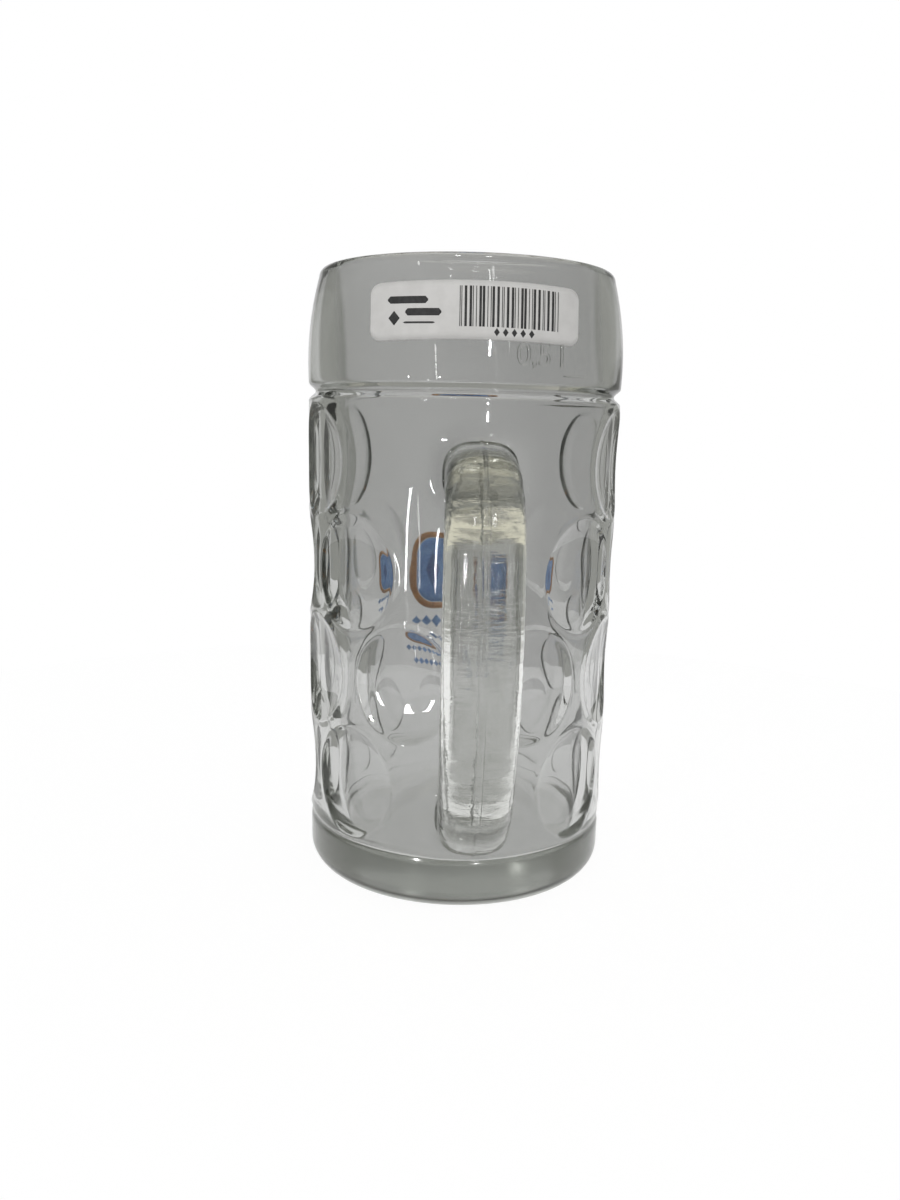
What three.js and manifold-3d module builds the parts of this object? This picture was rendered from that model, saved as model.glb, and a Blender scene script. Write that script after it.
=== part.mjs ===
// Half-litre glass beer mug with a dimpled wall, a solid glass handle, a paper label and a fired print.
// Millimetres, +Z up. The origin is the centre of the underside, and the handle points along -Y.
import * as THREE from 'three';
import { mergeVertices } from 'three/addons/utils/BufferGeometryUtils.js';
import Module from 'manifold-3d';

// Vessel
const HEIGHT = 164; // standing plane to the top of the lip
const BODY_RADIUS = 42.4; // wall just below the groove
const FOOT_RADIUS = 41.4; // wall just above the heel
const HEEL_RADIUS = 6.8; // rounding between the underside and the wall
const FOOT_RING_HEIGHT = 14.8; // standing plane to the crease over the foot ring
const CREASE_DEPTH = 0.5;
const CREASE_WIDTH = 2;
const WALL = 5.5; // glass thickness between the dimples
const FLOOR = 11.5; // glass thickness under the cavity
const FLOOR_CORNER = 5; // rounding between the cavity's floor and its wall

// Rim band over the groove
const BAND_HEIGHT = 32; // middle of the groove to the top of the lip
const BAND_SWELL = 0.9; // how far the band's curve is drawn out past the wall
const LIP_RADIUS = 39.7; // outside of the lip
const LIP_THICKNESS = 4.6;
const GROOVE_WIDTH = 4.6;
const GROOVE_DEPTH = 1.8;

// Dimples: shallow bowls pressed into the wall in staggered rows
const DIMPLE_ROWS = 4;
const DIMPLE_COLUMNS = 8;
const DIMPLE_WIDTH = 27.5; // round the wall
const DIMPLE_HEIGHT = 29.5;
const DIMPLE_DEPTH = 2.4;
const DIMPLE_MARGIN = 0.8; // plain wall over the top row and under the bottom row

// Handle
const HANDLE_WIDTH = 17;
const HANDLE_THICKNESS = 15.5;
const HANDLE_EDGE = 6; // rounding of the handle's four long edges
const HANDLE_REACH = 39; // wall to the middle of the grip
const UPPER_ROOT_DROP = 20.5; // middle of the groove down to the middle of the upper root
const LOWER_ROOT_HEIGHT = 26.5; // standing plane to the middle of the lower root
const GRIP_LEAN = 4; // how far the grip comes in over its lower half
const ROOT_FLARE = 3; // fillet where the handle runs out onto the wall
const JOINT_GAP = 0.3; // between the handle's root faces and the wall

// Paper label on the band, over the handle
const LABEL_WIDTH = 50; // straight across, as seen from the front
const LABEL_HEIGHT = 13.5;
const LABEL_CORNER = 2.5;
const LABEL_DROP = 6.8; // top of the lip down to the label's upper edge
const LABEL_THICKNESS = 0.3;

// Fired print on the smooth panel opposite the handle
const PRINT_HEIGHT = 78.5; // standing plane to the middle of the field
const PRINT_FIELD_WIDTH = 29;
const PRINT_FIELD_HEIGHT = 21;
const PRINT_CORNER = 6;
const PRINT_BORDER = 2; // width of the frame round the field
const PRINT_CLEARANCE = 0.2; // between the field and its frame
const PRINT_BAR_WIDTHS = [33, 25]; // upper bar, lower bar
const PRINT_BAR_HEIGHT = 4;
const PRINT_BAR_SPACING = 4; // plain glass over each bar
const PRINT_THICKNESS = 0.25;
const SKIN_GAP = 0.2; // between the wall and what is stuck or printed on it

// Fineness of the round surfaces
const TURN_SEGMENTS = 64;
const WALL_ROWS = 30;
const SWEEP_STEPS = 32;
const ROOT_SEGMENTS = 28;

const wasm = await Module();
wasm.setup();

const creaseFoot = FOOT_RING_HEIGHT - CREASE_WIDTH / 2;
const creaseTop = FOOT_RING_HEIGHT + CREASE_WIDTH / 2;
const grooveZ = HEIGHT - BAND_HEIGHT;
const flankTop = grooveZ - GROOVE_WIDTH / 2;
const bandFoot = grooveZ + GROOVE_WIDTH / 2;
const lipRound = LIP_THICKNESS / 2;
const lipZ = HEIGHT - lipRound;

const vec2 = (x, y) => new THREE.Vector2(x, y);

// Radius of the plain wall between the heel and the groove.
function flankRadius(z) {
  const t = (z - HEEL_RADIUS) / (flankTop - HEEL_RADIUS);
  return FOOT_RADIUS + (BODY_RADIUS - FOOT_RADIUS) * t;
}

// A closed mesh as a solid for joining and cutting.
function toSolid(geometry) {
  geometry.deleteAttribute('normal');
  geometry.deleteAttribute('uv');
  const merged = mergeVertices(geometry, 1e-4);
  const index = merged.index.array;
  const corners = [];
  for (let i = 0; i < index.length; i += 3) {
    const [a, b, c] = index.slice(i, i + 3);
    if (a !== b && b !== c && c !== a) corners.push(a, b, c);
  }
  const vertProperties = new Float32Array(merged.attributes.position.array);
  const triVerts = new Uint32Array(corners);
  return new wasm.Manifold(new wasm.Mesh({ numProp: 3, vertProperties, triVerts }));
}

function toMesh(name, solid, material) {
  const { vertProperties, triVerts } = solid.getMesh();
  const geometry = new THREE.BufferGeometry();
  geometry.setAttribute('position', new THREE.BufferAttribute(vertProperties, 3));
  geometry.setIndex(new THREE.BufferAttribute(triVerts, 1));
  geometry.computeVertexNormals();
  const mesh = new THREE.Mesh(geometry, material);
  mesh.name = name;
  return mesh;
}

// A body of revolution about Z from a profile of (radius, height) points, listed anticlockwise.
function turned(profile) {
  return new THREE.LatheGeometry(profile, TURN_SEGMENTS).rotateX(Math.PI / 2);
}

// Outside of the vessel before the dimples, from the edge of the underside up to the lip.
function outerProfile(wallRows) {
  const heelX = FOOT_RADIUS - HEEL_RADIUS;
  const heel = new THREE.EllipseCurve(heelX, HEEL_RADIUS, HEEL_RADIUS, HEEL_RADIUS, -Math.PI / 2, 0);
  const flank = new THREE.LineCurve(vec2(flankRadius(creaseTop), creaseTop), vec2(BODY_RADIUS, flankTop));
  const groove = new THREE.QuadraticBezierCurve(
    vec2(BODY_RADIUS, flankTop),
    vec2(BODY_RADIUS - 2 * GROOVE_DEPTH, grooveZ),
    vec2(BODY_RADIUS, bandFoot),
  );
  const band = new THREE.QuadraticBezierCurve(
    vec2(BODY_RADIUS, bandFoot),
    vec2(BODY_RADIUS + BAND_SWELL, (bandFoot + lipZ) / 2),
    vec2(LIP_RADIUS, lipZ),
  );
  return [
    ...heel.getPoints(4),
    vec2(flankRadius(creaseFoot), creaseFoot),
    vec2(flankRadius(FOOT_RING_HEIGHT) - CREASE_DEPTH, FOOT_RING_HEIGHT),
    ...flank.getPoints(wallRows),
    ...groove.getPoints(6).slice(1),
    ...band.getPoints(6).slice(1),
  ];
}

// Lip and cavity, from the outside of the lip down to the middle of the cavity's floor.
function innerProfile() {
  const lip = new THREE.EllipseCurve(LIP_RADIUS - lipRound, lipZ, lipRound, lipRound, 0, Math.PI);
  const cavityTop = BODY_RADIUS - WALL;
  const cavityFoot = FOOT_RADIUS - WALL;
  const corner = new THREE.EllipseCurve(
    cavityFoot - FLOOR_CORNER,
    FLOOR + FLOOR_CORNER,
    FLOOR_CORNER,
    FLOOR_CORNER,
    0,
    -Math.PI / 2,
    true,
  );
  return [...lip.getPoints(6).slice(1), vec2(cavityTop, grooveZ), ...corner.getPoints(5), vec2(0, FLOOR)];
}

// The solid inside the vessel's outer surface, grown outward by a clearance.
function sleeve(clearance) {
  const wall = outerProfile(1).map((p) => vec2(p.x + clearance, p.y));
  return toSolid(turned([vec2(0, 0), ...wall, vec2(0, lipZ)]));
}

// Azimuths run from the handle, so 180 degrees is the middle of the front panel.
// Bowls are left out round the upper and lower roots, behind the grip and on the front panel.
function dimplePlaces() {
  const top = flankTop - DIMPLE_MARGIN - DIMPLE_HEIGHT / 2;
  const bottom = creaseTop + DIMPLE_MARGIN + DIMPLE_HEIGHT / 2;
  const pitch = 360 / DIMPLE_COLUMNS;
  const places = [];
  for (let row = 0; row < DIMPLE_ROWS; row += 1) {
    const z = top + ((bottom - top) * row) / (DIMPLE_ROWS - 1);
    const upperRow = row === 0;
    const lowerRow = row === DIMPLE_ROWS - 1;
    const staggered = row % 2 === 0;
    for (let column = 0; column < DIMPLE_COLUMNS; column += 1) {
      const azimuth = pitch * (column + (staggered ? 0.5 : 0));
      const fromHandle = Math.min(azimuth, 360 - azimuth);
      const atRoot = fromHandle < (upperRow ? pitch : pitch / 2);
      const onPanel = !lowerRow && fromHandle > 180 - 0.75 * pitch;
      if (!atRoot && !onPanel) places.push({ azimuth: THREE.MathUtils.degToRad(azimuth), z });
    }
  }
  return places;
}

// How far the bowls press the wall in at an azimuth from the handle and a height.
function pressedDepth(places, azimuth, z) {
  let depth = 0;
  for (const place of places) {
    const turn = azimuth - place.azimuth;
    const nearest = Math.atan2(Math.sin(turn), Math.cos(turn));
    const across = (flankRadius(z) * nearest) / (DIMPLE_WIDTH / 2);
    const along = (z - place.z) / (DIMPLE_HEIGHT / 2);
    depth = Math.max(depth, DIMPLE_DEPTH * (1 - across ** 2 - along ** 2));
  }
  return depth;
}

function bodySolid() {
  const body = turned([vec2(0, 0), ...outerProfile(WALL_ROWS), ...innerProfile()]);
  const places = dimplePlaces();
  const position = body.attributes.position;
  for (let i = 0; i < position.count; i += 1) {
    const [x, y, z] = [position.getX(i), position.getY(i), position.getZ(i)];
    const radius = Math.hypot(x, y);
    const onFlank = z > creaseTop && z < flankTop && radius > flankRadius(z) - WALL / 2;
    if (onFlank) {
      const pressed = 1 - pressedDepth(places, Math.atan2(x, -y), z) / radius;
      position.setXY(i, x * pressed, y * pressed);
    }
  }
  return toSolid(body);
}

// A rectangle with round corners, centred on the origin.
function roundedRectangle(width, height, corner) {
  const x = width / 2 - corner;
  const y = height / 2 - corner;
  const shape = new THREE.Shape();
  shape.absarc(x, y, corner, 0, Math.PI / 2);
  shape.absarc(-x, y, corner, Math.PI / 2, Math.PI);
  shape.absarc(-x, -y, corner, Math.PI, 1.5 * Math.PI);
  shape.absarc(x, -y, corner, 1.5 * Math.PI, 2 * Math.PI);
  shape.closePath();
  return shape;
}

// Middle line of the handle, from inside the wall at the upper root to inside it at the lower root.
function handleLine() {
  const upperZ = grooveZ - UPPER_ROOT_DROP;
  const lowerZ = LOWER_ROOT_HEIGHT;
  const wall = flankRadius(upperZ);
  const grip = wall + HANDLE_REACH;
  const foot = grip - GRIP_LEAN;
  const drop = upperZ - lowerZ;
  const at = (reach, z) => new THREE.Vector3(0, -reach, z);
  const points = [
    at(wall - WALL, upperZ),
    at(wall + 0.25 * HANDLE_REACH, upperZ - 0.005 * drop),
    at(wall + 0.64 * HANDLE_REACH, upperZ - 0.04 * drop),
    at(wall + 0.92 * HANDLE_REACH, upperZ - 0.14 * drop),
    at(grip, upperZ - 0.32 * drop),
    at((grip + foot) / 2, upperZ - 0.56 * drop),
    at(wall + 0.78 * (foot - wall), lowerZ + 0.21 * drop),
    at(wall + 0.5 * (foot - wall), lowerZ + 0.075 * drop),
    at(wall + 0.2 * (foot - wall), lowerZ + 0.015 * drop),
    at(wall - WALL, lowerZ),
  ];
  return new THREE.CatmullRomCurve3(points, false, 'centripetal');
}

// Flared collar that runs a root out onto the wall, along -Y at the named height.
function rootCollar(z) {
  const neck = HANDLE_WIDTH / 2;
  const wall = flankRadius(z);
  const fillet = new THREE.EllipseCurve(
    neck + ROOT_FLARE,
    wall + ROOT_FLARE,
    ROOT_FLARE,
    ROOT_FLARE,
    -Math.PI / 2,
    -Math.PI,
    true,
  );
  const profile = [
    vec2(0, wall - WALL),
    vec2(neck + ROOT_FLARE, wall - WALL),
    ...fillet.getPoints(4),
    vec2(0, wall + ROOT_FLARE),
  ];
  const collar = new THREE.LatheGeometry(profile, ROOT_SEGMENTS);
  collar.rotateX(Math.PI).scale(1, 1, HANDLE_THICKNESS / HANDLE_WIDTH).translate(0, 0, z);
  return toSolid(collar);
}

function handleSolid() {
  const section = roundedRectangle(HANDLE_WIDTH, HANDLE_THICKNESS, HANDLE_EDGE);
  const sweep = new THREE.ExtrudeGeometry(section, {
    steps: SWEEP_STEPS,
    curveSegments: 2,
    bevelEnabled: false,
    extrudePath: handleLine(),
  });
  return toSolid(sweep)
    .add(rootCollar(grooveZ - UPPER_ROOT_DROP))
    .add(rootCollar(LOWER_ROOT_HEIGHT))
    .subtract(sleeve(JOINT_GAP));
}

// A thin skin on the vessel's outside, cut to an outline seen along Y. Side -1 faces the handle's way.
function skin(outline, z, thickness, side) {
  const cutter = new THREE.ExtrudeGeometry(outline, {
    depth: 2 * BODY_RADIUS,
    curveSegments: 5,
    bevelEnabled: false,
  });
  cutter.rotateX(Math.PI / 2);
  if (side > 0) cutter.rotateZ(Math.PI);
  cutter.translate(0, 0, z);
  return sleeve(SKIN_GAP + thickness).subtract(sleeve(SKIN_GAP)).intersect(toSolid(cutter));
}

function labelSolid() {
  const outline = roundedRectangle(LABEL_WIDTH, LABEL_HEIGHT, LABEL_CORNER);
  return skin(outline, HEIGHT - LABEL_DROP - LABEL_HEIGHT / 2, LABEL_THICKNESS, -1);
}

function printFieldSolid() {
  const outline = roundedRectangle(PRINT_FIELD_WIDTH, PRINT_FIELD_HEIGHT, PRINT_CORNER);
  return skin(outline, PRINT_HEIGHT, PRINT_THICKNESS, 1);
}

function printBorderSolid() {
  const grown = (margin) =>
    roundedRectangle(
      PRINT_FIELD_WIDTH + 2 * margin,
      PRINT_FIELD_HEIGHT + 2 * margin,
      PRINT_CORNER + margin,
    );
  const outline = grown(PRINT_CLEARANCE + PRINT_BORDER);
  outline.holes.push(grown(PRINT_CLEARANCE));
  return skin(outline, PRINT_HEIGHT, PRINT_THICKNESS, 1);
}

function printBarSolid(order) {
  const fieldFoot = PRINT_HEIGHT - PRINT_FIELD_HEIGHT / 2 - PRINT_CLEARANCE - PRINT_BORDER;
  const z = fieldFoot - (order + 1) * PRINT_BAR_SPACING - (order + 0.5) * PRINT_BAR_HEIGHT;
  const outline = roundedRectangle(PRINT_BAR_WIDTHS[order], PRINT_BAR_HEIGHT, PRINT_BAR_HEIGHT / 4);
  return skin(outline, z, PRINT_THICKNESS, 1);
}

const glass = (color) =>
  new THREE.MeshStandardMaterial({ color, roughness: 0.05, metalness: 0, transparent: true, opacity: 0.4 });
const paper = new THREE.MeshStandardMaterial({ color: 0xe9e8e4, roughness: 0.75, metalness: 0 });
const enamel = (color) => new THREE.MeshStandardMaterial({ color, roughness: 0.35, metalness: 0 });

const mug = new THREE.Group();
mug.name = 'beer_mug';
mug.add(
  toMesh('mug_body', bodySolid(), glass(0xc9cdc8)),
  toMesh('handle', handleSolid(), glass(0xd2d5d0)),
  toMesh('price_label', labelSolid(), paper),
  toMesh('print_field', printFieldSolid(), enamel(0x3f68a8)),
  toMesh('print_border', printBorderSolid(), enamel(0x9a6a38)),
  toMesh('print_bar_upper', printBarSolid(0), enamel(0x3f68a8)),
  toMesh('print_bar_lower', printBarSolid(1), enamel(0x3f68a8)),
);

export default mug;
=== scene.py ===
import math

import bpy
import numpy as np
from mathutils import Matrix, Vector


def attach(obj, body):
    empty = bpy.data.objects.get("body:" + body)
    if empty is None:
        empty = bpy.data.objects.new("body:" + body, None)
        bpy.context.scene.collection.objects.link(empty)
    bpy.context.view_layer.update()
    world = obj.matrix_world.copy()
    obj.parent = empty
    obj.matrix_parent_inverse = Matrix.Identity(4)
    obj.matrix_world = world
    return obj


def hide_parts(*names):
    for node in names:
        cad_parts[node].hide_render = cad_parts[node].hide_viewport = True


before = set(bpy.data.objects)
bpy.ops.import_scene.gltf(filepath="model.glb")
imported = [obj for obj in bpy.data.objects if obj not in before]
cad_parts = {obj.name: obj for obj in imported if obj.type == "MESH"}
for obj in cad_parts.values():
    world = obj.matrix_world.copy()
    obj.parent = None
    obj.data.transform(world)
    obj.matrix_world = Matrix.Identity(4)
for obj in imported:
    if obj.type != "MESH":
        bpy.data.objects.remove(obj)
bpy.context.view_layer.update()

# Sizes are in millimetres and angles in degrees, as on the solids. make_piece turns them into metres.
MM = 0.001

# Vessel
HEIGHT = 164.0
BODY_RADIUS = 42.4  # wall just below the groove
FOOT_RADIUS = 41.4  # wall just above the heel
HEEL_RADIUS = 6.8
FOOT_RING_HEIGHT = 14.8
CREASE_DEPTH = 0.5
CREASE_WIDTH = 2.0
WALL = 5.5
FLOOR = 11.5
FLOOR_CORNER = 5.0
BAND_HEIGHT = 32.0  # middle of the groove to the top of the lip
BAND_SWELL = 0.88
LIP_RADIUS = 39.7
LIP_THICKNESS = 4.6
GROOVE_WIDTH = 4.6
GROOVE_DEPTH = 1.8
UNDERSIDE_RADIUS = 30.0
UNDERSIDE_RISE = 0.2  # hollow in the middle of the underside
CAVITY_SHIFT = 1.5  # how far the cavity is off the axis below the band

# Dimples, in rows that leave out the places where the handle and the print are
DIMPLE_WIDTH = 27.5
DIMPLE_HEIGHT = 29.5
DIMPLE_DEPTH = 2.4
DIMPLE_MARGIN = 0.8  # plain wall over the top row and under the bottom row
DIMPLE_STEEPNESS = 2.7
DIMPLE_EDGE_SOFTNESS = 0.04
DIMPLE_INNER_SHARE = 0.15  # how much of a dimple shows on the inside
DIMPLE_BACK_SHARE = 0.8  # depth opposite the handle, as a share of that beside it
DIMPLE_RIDGE = 0.16  # fine rim round a dimple
DIMPLE_RIDGE_WIDTH = 0.075  # as a share of the dimple's half width
DIMPLE_AZIMUTHS = [
    [-112.5, -67.5, 67.5, 112.5],
    [-135, -90, -45, 45, 90, 135],
    [-112.5, -67.5, -22.5, 22.5, 67.5, 112.5],
    [-135, -90, -45, 45, 90, 135, 180],
]

# Handle
HANDLE_WIDTH = 17.0
HANDLE_THICKNESS = 15.5
HANDLE_SQUARENESS = 2.7
HANDLE_REACH = 39.0  # wall to the middle of the grip
UPPER_ROOT_DROP = 20.5  # middle of the groove down to the middle of the upper root
UPPER_ROOT_LIFT = 0.9
LOWER_ROOT_HEIGHT = 26.5
GRIP_LEAN = 4.0  # how far the grip comes in over its lower half
GRIP_MIDDLE = 0.56  # as a share of the drop between the roots
ROOT_FLARE = 0.4
ROOT_BLEND = 7.0  # length over which the handle takes on the wall's curve
ROOT_OVERLAP = 0.4  # how far the roots reach into the wall
ROOT_PAD = 1.5  # rise of the wall about the roots
ROOT_PAD_WIDTH = 2.6
ROOT_SKEW = 1.7  # how far the roots stand to the right of the grip
SEAM_HEIGHT = 0.3
SEAM_WIDTH = 0.35
# Bends of the middle line: share of the reach, and share of the drop from the nearer root
UPPER_BENDS = [(0.25, 0.005), (0.64, 0.04), (0.92, 0.14), (1.0, 0.32)]
LOWER_BENDS = [(0.78, 0.21), (0.5, 0.075), (0.2, 0.015)]

# Ripples along the handle: three trains of waves, each bent in its own way round the section
RIPPLE = 0.1
RIPPLE_RATES = (1.9, 3.1, 0.83)  # radians to a millimetre
RIPPLE_BENDS = (2.0, 3.0, 1.7)
RIPPLE_PHASES = (0.7, 1.3)
DOME_RIPPLE = 0.7  # how much stronger they are in the upper bend
DOME_PLACE = 20.0  # upper root to the middle of the upper bend
DOME_LENGTH = 12.0

# Paper label
LABEL_WIDTH = 50.0
LABEL_HEIGHT = 13.5
LABEL_CORNER = 2.5
LABEL_DROP = 6.8  # top of the lip down to the label's upper edge
LABEL_THICKNESS = 0.12
LABEL_DROOP = 0.6  # how far its ends hang below its middle
BARS_WIDTH = 24.4
BARS_HEIGHT = 9.3
BARS_LEFT = -4.2
BARS_TOP_MARGIN = 1.3
BARS_COUNT = 30
INK_THICKNESS = 0.02
STRIP_CORNER_SHARE = 0.4  # of a strip's height
LOZENGE_POINT = 0.97  # how nearly a lozenge runs out to a point
SMALL_LOZENGES = 5
SMALL_LOZENGE_LEFT = 4.6
SMALL_LOZENGE_PITCH = 2.1
# Width, height, and place right of and above the label's middle
STRIPS = [(9.4, 1.7, -16.2, 2.4), (8.4, 1.7, -12.6, -0.5), (7.4, 0.45, -13.6, -2.9)]
LARGE_LOZENGE = (2.6, 3.4, -19.4, -1.7)
SMALL_LOZENGE = (1.3, 1.9, SMALL_LOZENGE_LEFT, -5.0)

# Fired print, opposite the handle
PRINT_HEIGHT = 78.5  # standing plane to the middle of the field
PRINT_FIELD_WIDTH = 29.0
PRINT_FIELD_HEIGHT = 21.0
PRINT_CORNER = 6.0
PRINT_BORDER = 2.0
PRINT_CLEARANCE = 0.2
PRINT_BAR_WIDTHS = [33.0, 25.0]
PRINT_BAR_HEIGHT = 4.0
PRINT_BAR_SPACING = 4.0
PRINT_BAR_PITCH = 3.6
PRINT_BAR_FILL = 0.96  # a lozenge's width as a share of the pitch
PRINT_THICKNESS = 0.09
SKIN_GAP = 0.03  # between the wall and what is stuck or printed on it
# Width, height and place across of the lozenges on the field, as seen from outside and through the glass
PRINT_MOTIF = [(8.0, 14.0, 0.0), (5.0, 9.0, -8.5), (5.0, 9.0, 8.5)]
PRINT_BACK_MOTIF = [(5.0, 11.0, -9.0), (5.0, 11.0, 9.0)]

# Capacity mark, moulded on the band under the label
MARK_TEXT = "0,5 l"
MARK_AZIMUTH = 21.6
MARK_Z = 138.2
MARK_SIZE = 7.6
MARK_RELIEF = 0.16
MARK_BEVEL = 0.08
MARK_BEVEL_STEPS = 2
MARK_THINNING = 0.05
FILL_LINE_AZIMUTH = 36.0
FILL_LINE_Z = 136.0
FILL_LINE_LENGTH = 8.5
FILL_LINE_WIDTH = 0.5
FILL_LINE_TAPER = 0.98

# Mesh fineness: counts, and steps in millimetres
BODY_COLUMNS = 480
UNDERSIDE_RINGS = 6
HEEL_STEPS = 12
FOOT_STEP = 1.2
CREASE_STEP = 0.35
FLANK_STEP = 0.55
GROOVE_STEP = 0.33
BAND_STEP = 1.1
LIP_STEPS = 8
INNER_STEP = 2.0
FLOOR_CORNER_STEPS = 24
FLOOR_RINGS = 6
HANDLE_RINGS = 190
HANDLE_QUARTER = 24
HANDLE_LINE_STEPS = 60
HANDLE_CURVE_POINTS = 400
RING_CROWDING = 0.1  # draws the handle's rings together at its roots
SEAM_CROWDING = 1.5  # draws the section's points together at the seams
STEADY_RINGS = 3  # rings at each root that keep one slope
PATCH_ROWS = 9
LABEL_COLUMNS = 64
BAR_COLUMNS = 3
INK_COLUMNS = 7
INK_ROWS = 6
FIELD_COLUMNS = 48
BAR_LOZENGE_COLUMNS = 9
MOTIF_COLUMNS = 17
OUTLINE_STEPS = 14
FILL_LINE_RINGS = 15
FILL_LINE_SIDES = 12
FLOOR_SIDES = 128

# Glass, with places and heights of its relief in metres
GLASS_IOR = 1.5
DEPTH_COLOUR = (0.34, 0.365, 0.31)
DEPTH_DENSITY = 18.0
BODY_TINT = (0.7, 0.702, 0.698)
HANDLE_TINT = (0.985, 0.985, 0.975)
MARK_TINT = (0.97, 0.97, 0.97)
GLASS_SHADOW = (0.93, 0.93, 0.93)
MARK_SHADOW = (0.9, 0.9, 0.9)
TINT_SCALE = 60
TINT_SHARE = 0.985  # deepest tint
SMUDGE_SCALE = 130
SMUDGE_DETAIL = 6.0
CLEAN_SHARE = 0.3  # roughness of clean glass as a share of smudged glass
WAVE_SCALE = 90
WAVE_DETAIL = 2.0
WAVE_HEIGHT = 0.0004
HANDLE_STRETCH = 0.08  # draws the handle's waves out along it
STREAK_SCALE = 220.0
STREAK_DETAIL = 3.0
STREAK_STRETCH = 6.0  # packs the handle's fine relief into lines across it
STREAK_STRENGTH = 0.45
STREAK_HEIGHT = 0.00022
FOOT_FROST = 0.14  # roughness at the foot
FROST_RISE = (30 * MM, 12 * MM)  # heights where the frost starts and is full

# Mottle of every surface, and grain of paper, ink and enamel
MOTTLE_PLACES = (0.35, 0.65)
MOTTLE_DETAIL = 4.0
GRAIN_SCALE = 2500
GRAIN_DETAIL = 3.0
GRAIN_HEIGHT = 0.0001

# Camera of the photograph, in metres and radians with its lens in millimetres, from a fit to the mug's
# outline in a 900 by 1200 frame
CAMERA_PLACE = (-0.01796, -0.29144, 0.12404)
CAMERA_TURN = math.radians(-3.0)
CAMERA_PITCH = 0.167
CAMERA_ROLL = 0.023
CAMERA_LENS = 31.28
CAMERA_SENSOR = 36.0
CAMERA_NEAR = 0.01

# Stage: table top, surround and lamps, in metres, watts and shares of white
FLOOR_RADIUS = 0.3
FLOOR_Z = -0.0002
FLOOR_PAINT = 0.9
FLOOR_WHITE = 1.14
FLOOR_GLOW_SHARE = 0.8
WALL_WHITE = 1.0
WALL_IN_GLASS = (0.84, 0.71)  # the white panel as glass shows it, at its left and at its right
WALL_FADE = (-0.02, 0.14)  # where it starts and ends to dim in the glass, as slopes to the right
SIDE_GREY = (0.42, 0.425, 0.4)
OVERHEAD_GREY = (0.98, 0.94, 0.78)
OVERHEAD_RISE = (0.55, 0.85)  # height of a direction where the grey starts and ends to change
BACKDROP_SIDE = 0.052  # how far the white panel's middle lies to the right, as a slope
BACKDROP_EDGES = (0.47, 0.58)  # where the panel starts and ends to fade, as slopes off its middle
BACKDROP_TOP = 0.07  # how much nearer to the horizon its upper edge is, as a slope
LEAST_FORWARD = 0.001  # keeps the slopes finite beside and behind the camera
ROOM_LIGHT = 0.35
LAMP_DISTANCE = 3.0
# Azimuth from the handle's side, elevation, width, height and power
LAMPS = [
    (-15, 62, 0.2, 0.2, 4),
    (20, 62, 0.2, 0.2, 4),
    (-43, -7, 0.06, 0.3, 2),
    (-21, -8.2, 0.06, 0.16, 1.5),
    (-31, 14, 0.06, 0.3, 12),
    (13, 8, 0.06, 0.3, 10),
]
LIGHT_BOUNCES = 24
GLOSSY_BOUNCES = 12

groove_z = HEIGHT - BAND_HEIGHT
flank_top = groove_z - GROOVE_WIDTH / 2
band_foot = groove_z + GROOVE_WIDTH / 2
lip_round = LIP_THICKNESS / 2
lip_z = HEIGHT - lip_round
upper_root_z = groove_z - UPPER_ROOT_DROP + UPPER_ROOT_LIFT


def make_piece(name, points, faces, material, slot, nodes=()):
    """A smooth piece that rides on the mug, from points in millimetres."""
    mesh = bpy.data.meshes.new(name)
    mesh.from_pydata((np.asarray(points, float) * MM).tolist(), [], faces)
    mesh.shade_smooth()
    mesh.materials.append(material)
    piece = bpy.data.objects.new(name, mesh)
    bpy.context.collection.objects.link(piece)
    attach(piece, "root")
    if nodes:
        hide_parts(*nodes)


def loop_faces(rings, sides):
    """Quads between rings of points, each ring closed on itself."""
    ring, side = np.meshgrid(np.arange(rings - 1), np.arange(sides), indexing="ij")
    following = (side + 1) % sides
    corners = [
        ring * sides + side,
        ring * sides + following,
        (ring + 1) * sides + following,
        (ring + 1) * sides + side,
    ]
    return np.stack(corners, axis=-1).reshape(-1, 4).tolist()


def fan_faces(first, sides, middle, outward):
    """Triangles between one ring and the point in its middle."""
    faces = [(first + i, first + (i + 1) % sides, middle) for i in range(sides)]
    return faces if outward else [face[::-1] for face in faces]


def tube_faces(rings, sides):
    """Faces of a closed tube whose two end points follow its rings."""
    last = (rings - 1) * sides
    middle = rings * sides
    return (
        loop_faces(rings, sides)
        + fan_faces(0, sides, middle, False)
        + fan_faces(last, sides, middle + 1, True)
    )


# Vessel


def wall_radius(z):
    """Radius of the plain outer wall at a height, without the dimples."""
    z = np.asarray(z, float)
    rise = (z - HEEL_RADIUS) / (flank_top - HEEL_RADIUS)
    flank = FOOT_RADIUS + (BODY_RADIUS - FOOT_RADIUS) * rise
    crease = CREASE_DEPTH * np.exp(-(((z - FOOT_RING_HEIGHT) / (CREASE_WIDTH / 2)) ** 2))
    groove = BODY_RADIUS - GROOVE_DEPTH * np.cos(np.pi * (z - groove_z) / GROOVE_WIDTH) ** 2
    t = (z - band_foot) / (lip_z - band_foot)
    swell = BODY_RADIUS + BAND_SWELL
    band = (1 - t) ** 2 * BODY_RADIUS + 2 * t * (1 - t) * swell + t**2 * LIP_RADIUS
    return np.where(z < flank_top, flank - crease, np.where(z < band_foot, groove, band))


def wrapped(angle):
    """An angle brought between minus and plus half a turn."""
    return (angle + np.pi) % (2 * np.pi) - np.pi


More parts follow.
